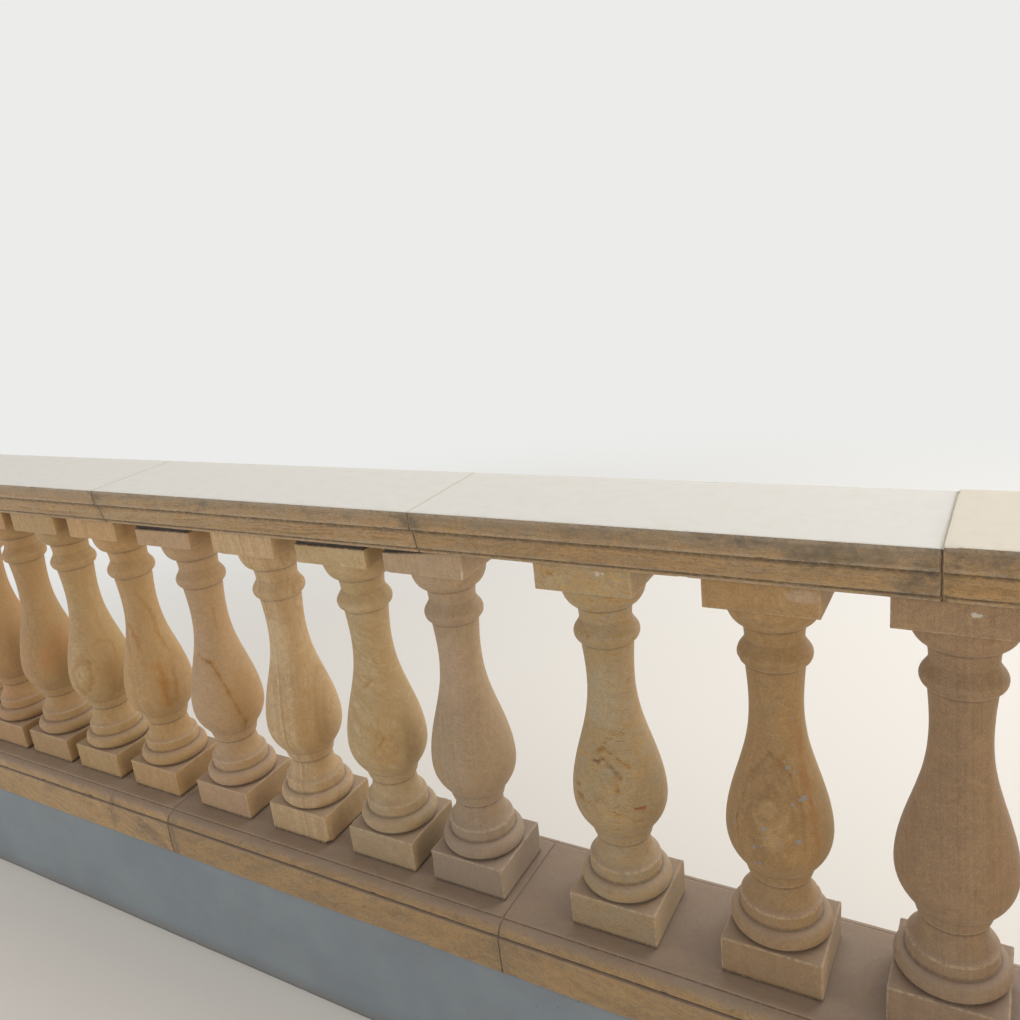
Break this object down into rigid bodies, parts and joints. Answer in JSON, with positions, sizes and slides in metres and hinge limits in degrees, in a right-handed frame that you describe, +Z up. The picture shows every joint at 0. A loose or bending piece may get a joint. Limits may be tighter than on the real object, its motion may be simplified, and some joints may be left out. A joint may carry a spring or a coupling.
{
  "type": "stone balustrade",
  "caption": "Run of turned stone balusters, square at head and foot, between a moulded coping and a moulded base rail on a low painted wall.",
  "frame": {"origin": "on the ground, midway along the run and midway through the thickness of the wall", "axes": "+X along the balustrade, to the right as seen from the front; +Y from front to back; +Z up"},
  "size_m": [3.431, 0.28, 1.147],
  "materials": {
    "baluster_stone": "smooth dressed sandstone",
    "rail_stone": "smooth dressed sandstone",
    "coping_stone": "weathered sandstone",
    "painted_plaster": "matt masonry paint on plaster"
  },
  "bodies": {
    "root": {"baluster_01": "baluster_stone", "baluster_02": "baluster_stone", "baluster_03": "baluster_stone", "baluster_04": "baluster_stone", "baluster_05": "baluster_stone", "baluster_06": "baluster_stone", "baluster_07": "baluster_stone", "baluster_08": "baluster_stone", "baluster_09": "baluster_stone", "baluster_10": "baluster_stone", "baluster_11": "baluster_stone", "baluster_12": "baluster_stone", "baluster_13": "baluster_stone", "baluster_14": "baluster_stone", "baluster_15": "baluster_stone", "base_rail_1": "rail_stone", "base_rail_2": "rail_stone", "base_rail_3": "rail_stone", "base_rail_4": "rail_stone", "coping_1": "coping_stone", "coping_2": "coping_stone", "coping_3": "coping_stone", "coping_4": "coping_stone", "low_wall": "painted_plaster"}
  },
  "joints": []
}
